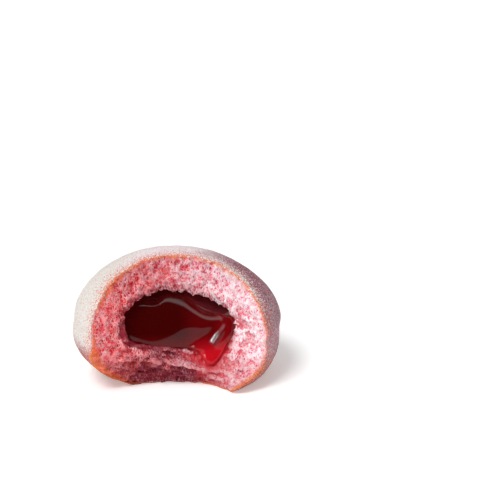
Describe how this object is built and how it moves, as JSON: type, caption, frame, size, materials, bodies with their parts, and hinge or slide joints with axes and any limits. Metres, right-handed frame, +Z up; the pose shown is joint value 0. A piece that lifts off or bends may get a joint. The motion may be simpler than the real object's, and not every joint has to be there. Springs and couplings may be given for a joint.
{
  "type": "jelly filled doughnut",
  "caption": "Round filled doughnut with a large bite taken out of its front, showing open pink crumb round a pocket of dark red jelly that spills over the lip in a drip.",
  "frame": {"origin": "point on the surface that the doughnut lies on, under the middle of the whole doughnut as it was before the bite", "axes": "+Z up through the crown of the doughnut, -Y out of the bite towards the viewer, +X to the right as the bite is seen"},
  "size_m": [0.0845, 0.0714, 0.0513],
  "materials": {
    "dough": "fried and sugared dough: fine powdered sugar over a browned crust outside, open moist pink crumb where it is torn",
    "jelly": "wet glossy dark red fruit jelly, brighter where it is thin"
  },
  "bodies": {
    "root": {"dough": "dough", "jelly": "jelly"}
  },
  "joints": []
}
